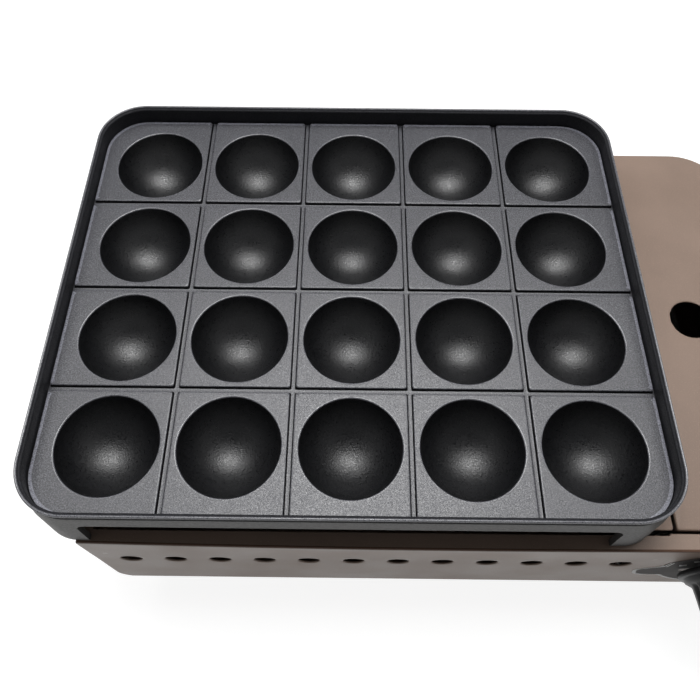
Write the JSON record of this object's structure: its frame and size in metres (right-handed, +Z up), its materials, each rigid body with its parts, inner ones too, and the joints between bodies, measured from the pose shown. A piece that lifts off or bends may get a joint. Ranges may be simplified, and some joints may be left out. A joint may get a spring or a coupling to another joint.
{
  "type": "table-top gas ball-cake cooker",
  "caption": "Table-top canister gas cooker: a raised cast plate with rows of round cups stands over a bar burner, with a hinged canister lid and a turning knob.",
  "frame": {"origin": "on the table, under the middle of the overall box", "axes": "+X to the canister side, +Y away from the user, +Z up"},
  "size_m": [0.3329, 0.2422, 0.134],
  "materials": {
    "plate_coating": "cast aluminium with a dark grey speckled non-stick coating",
    "casing_paint": "satin taupe paint on sheet steel",
    "tray_steel": "plated sheet steel, heat tinted",
    "burner_steel": "aluminised steel tube, dull",
    "plain_steel": "zinc-plated steel",
    "screw_steel": "bright zinc plate",
    "jet_brass": "turned brass",
    "valve_casting": "as-cast alloy, matt",
    "knob_plastic": "black moulded plastic, fine matt",
    "dial_plastic": "dark grey printed plastic",
    "igniter_plastic": "black moulded plastic",
    "spark_ceramic": "glazed white ceramic",
    "lead_rubber": "silicone rubber insulation",
    "foot_plastic": "black moulded plastic",
    "pad_rubber": "soft black rubber"
  },
  "bodies": {
    "casing": {"burner": "burner_steel", "burner_saddle_left": "plain_steel", "burner_saddle_right": "plain_steel", "burner_tray": "tray_steel", "canister_cradle": "plain_steel", "canister_guide": "plain_steel", "case_pan": "casing_paint", "dial_plate": "dial_plastic", "fixed_hinge_leaf_front": "plain_steel", "fixed_hinge_leaf_rear": "plain_steel", "floor_screws": "screw_steel", "foot_front_left": "foot_plastic", "foot_front_right": "foot_plastic", "foot_pads": "pad_rubber", "foot_rear_left": "foot_plastic", "foot_rear_right": "foot_plastic", "foot_screws": "screw_steel", "front_panel": "casing_paint", "gas_jet": "jet_brass", "gas_pipe": "plain_steel", "heat_shield": "plain_steel", "holding_magnets": "screw_steel", "igniter_lead": "lead_rubber", "mixing_tube": "burner_steel", "piezo_igniter": "igniter_plastic", "spark_electrode": "spark_ceramic", "spark_wire": "screw_steel", "top_panel": "casing_paint", "valve_body": "valve_casting"},
    "plate": {"cooking_plate": "plate_coating"},
    "lid": {"canister_lid": "casing_paint", "lid_hinge_leaf_front": "plain_steel", "lid_hinge_leaf_rear": "plain_steel", "hinge_pin_front": "screw_steel", "hinge_pin_rear": "screw_steel"},
    "knob": {"knob": "knob_plastic", "knob_shaft": "screw_steel"}
  },
  "joints": [
    {"name": "plate_lift", "type": "slide", "parent": "casing", "child": "plate", "axis": [0, 0, 1], "range_m": [0, 0.12]},
    {"name": "lid_hinge", "type": "hinge", "parent": "casing", "child": "lid", "pos_m": [0.16175, 0.01375, 0.0924], "axis": [0, 1, 0], "range_deg": [0, 100]},
    {"name": "knob_turn", "type": "hinge", "parent": "casing", "child": "knob", "pos_m": [0.13075, -0.09555, 0.069], "axis": [0, -1, 0], "range_deg": [0, 95]}
  ]
}
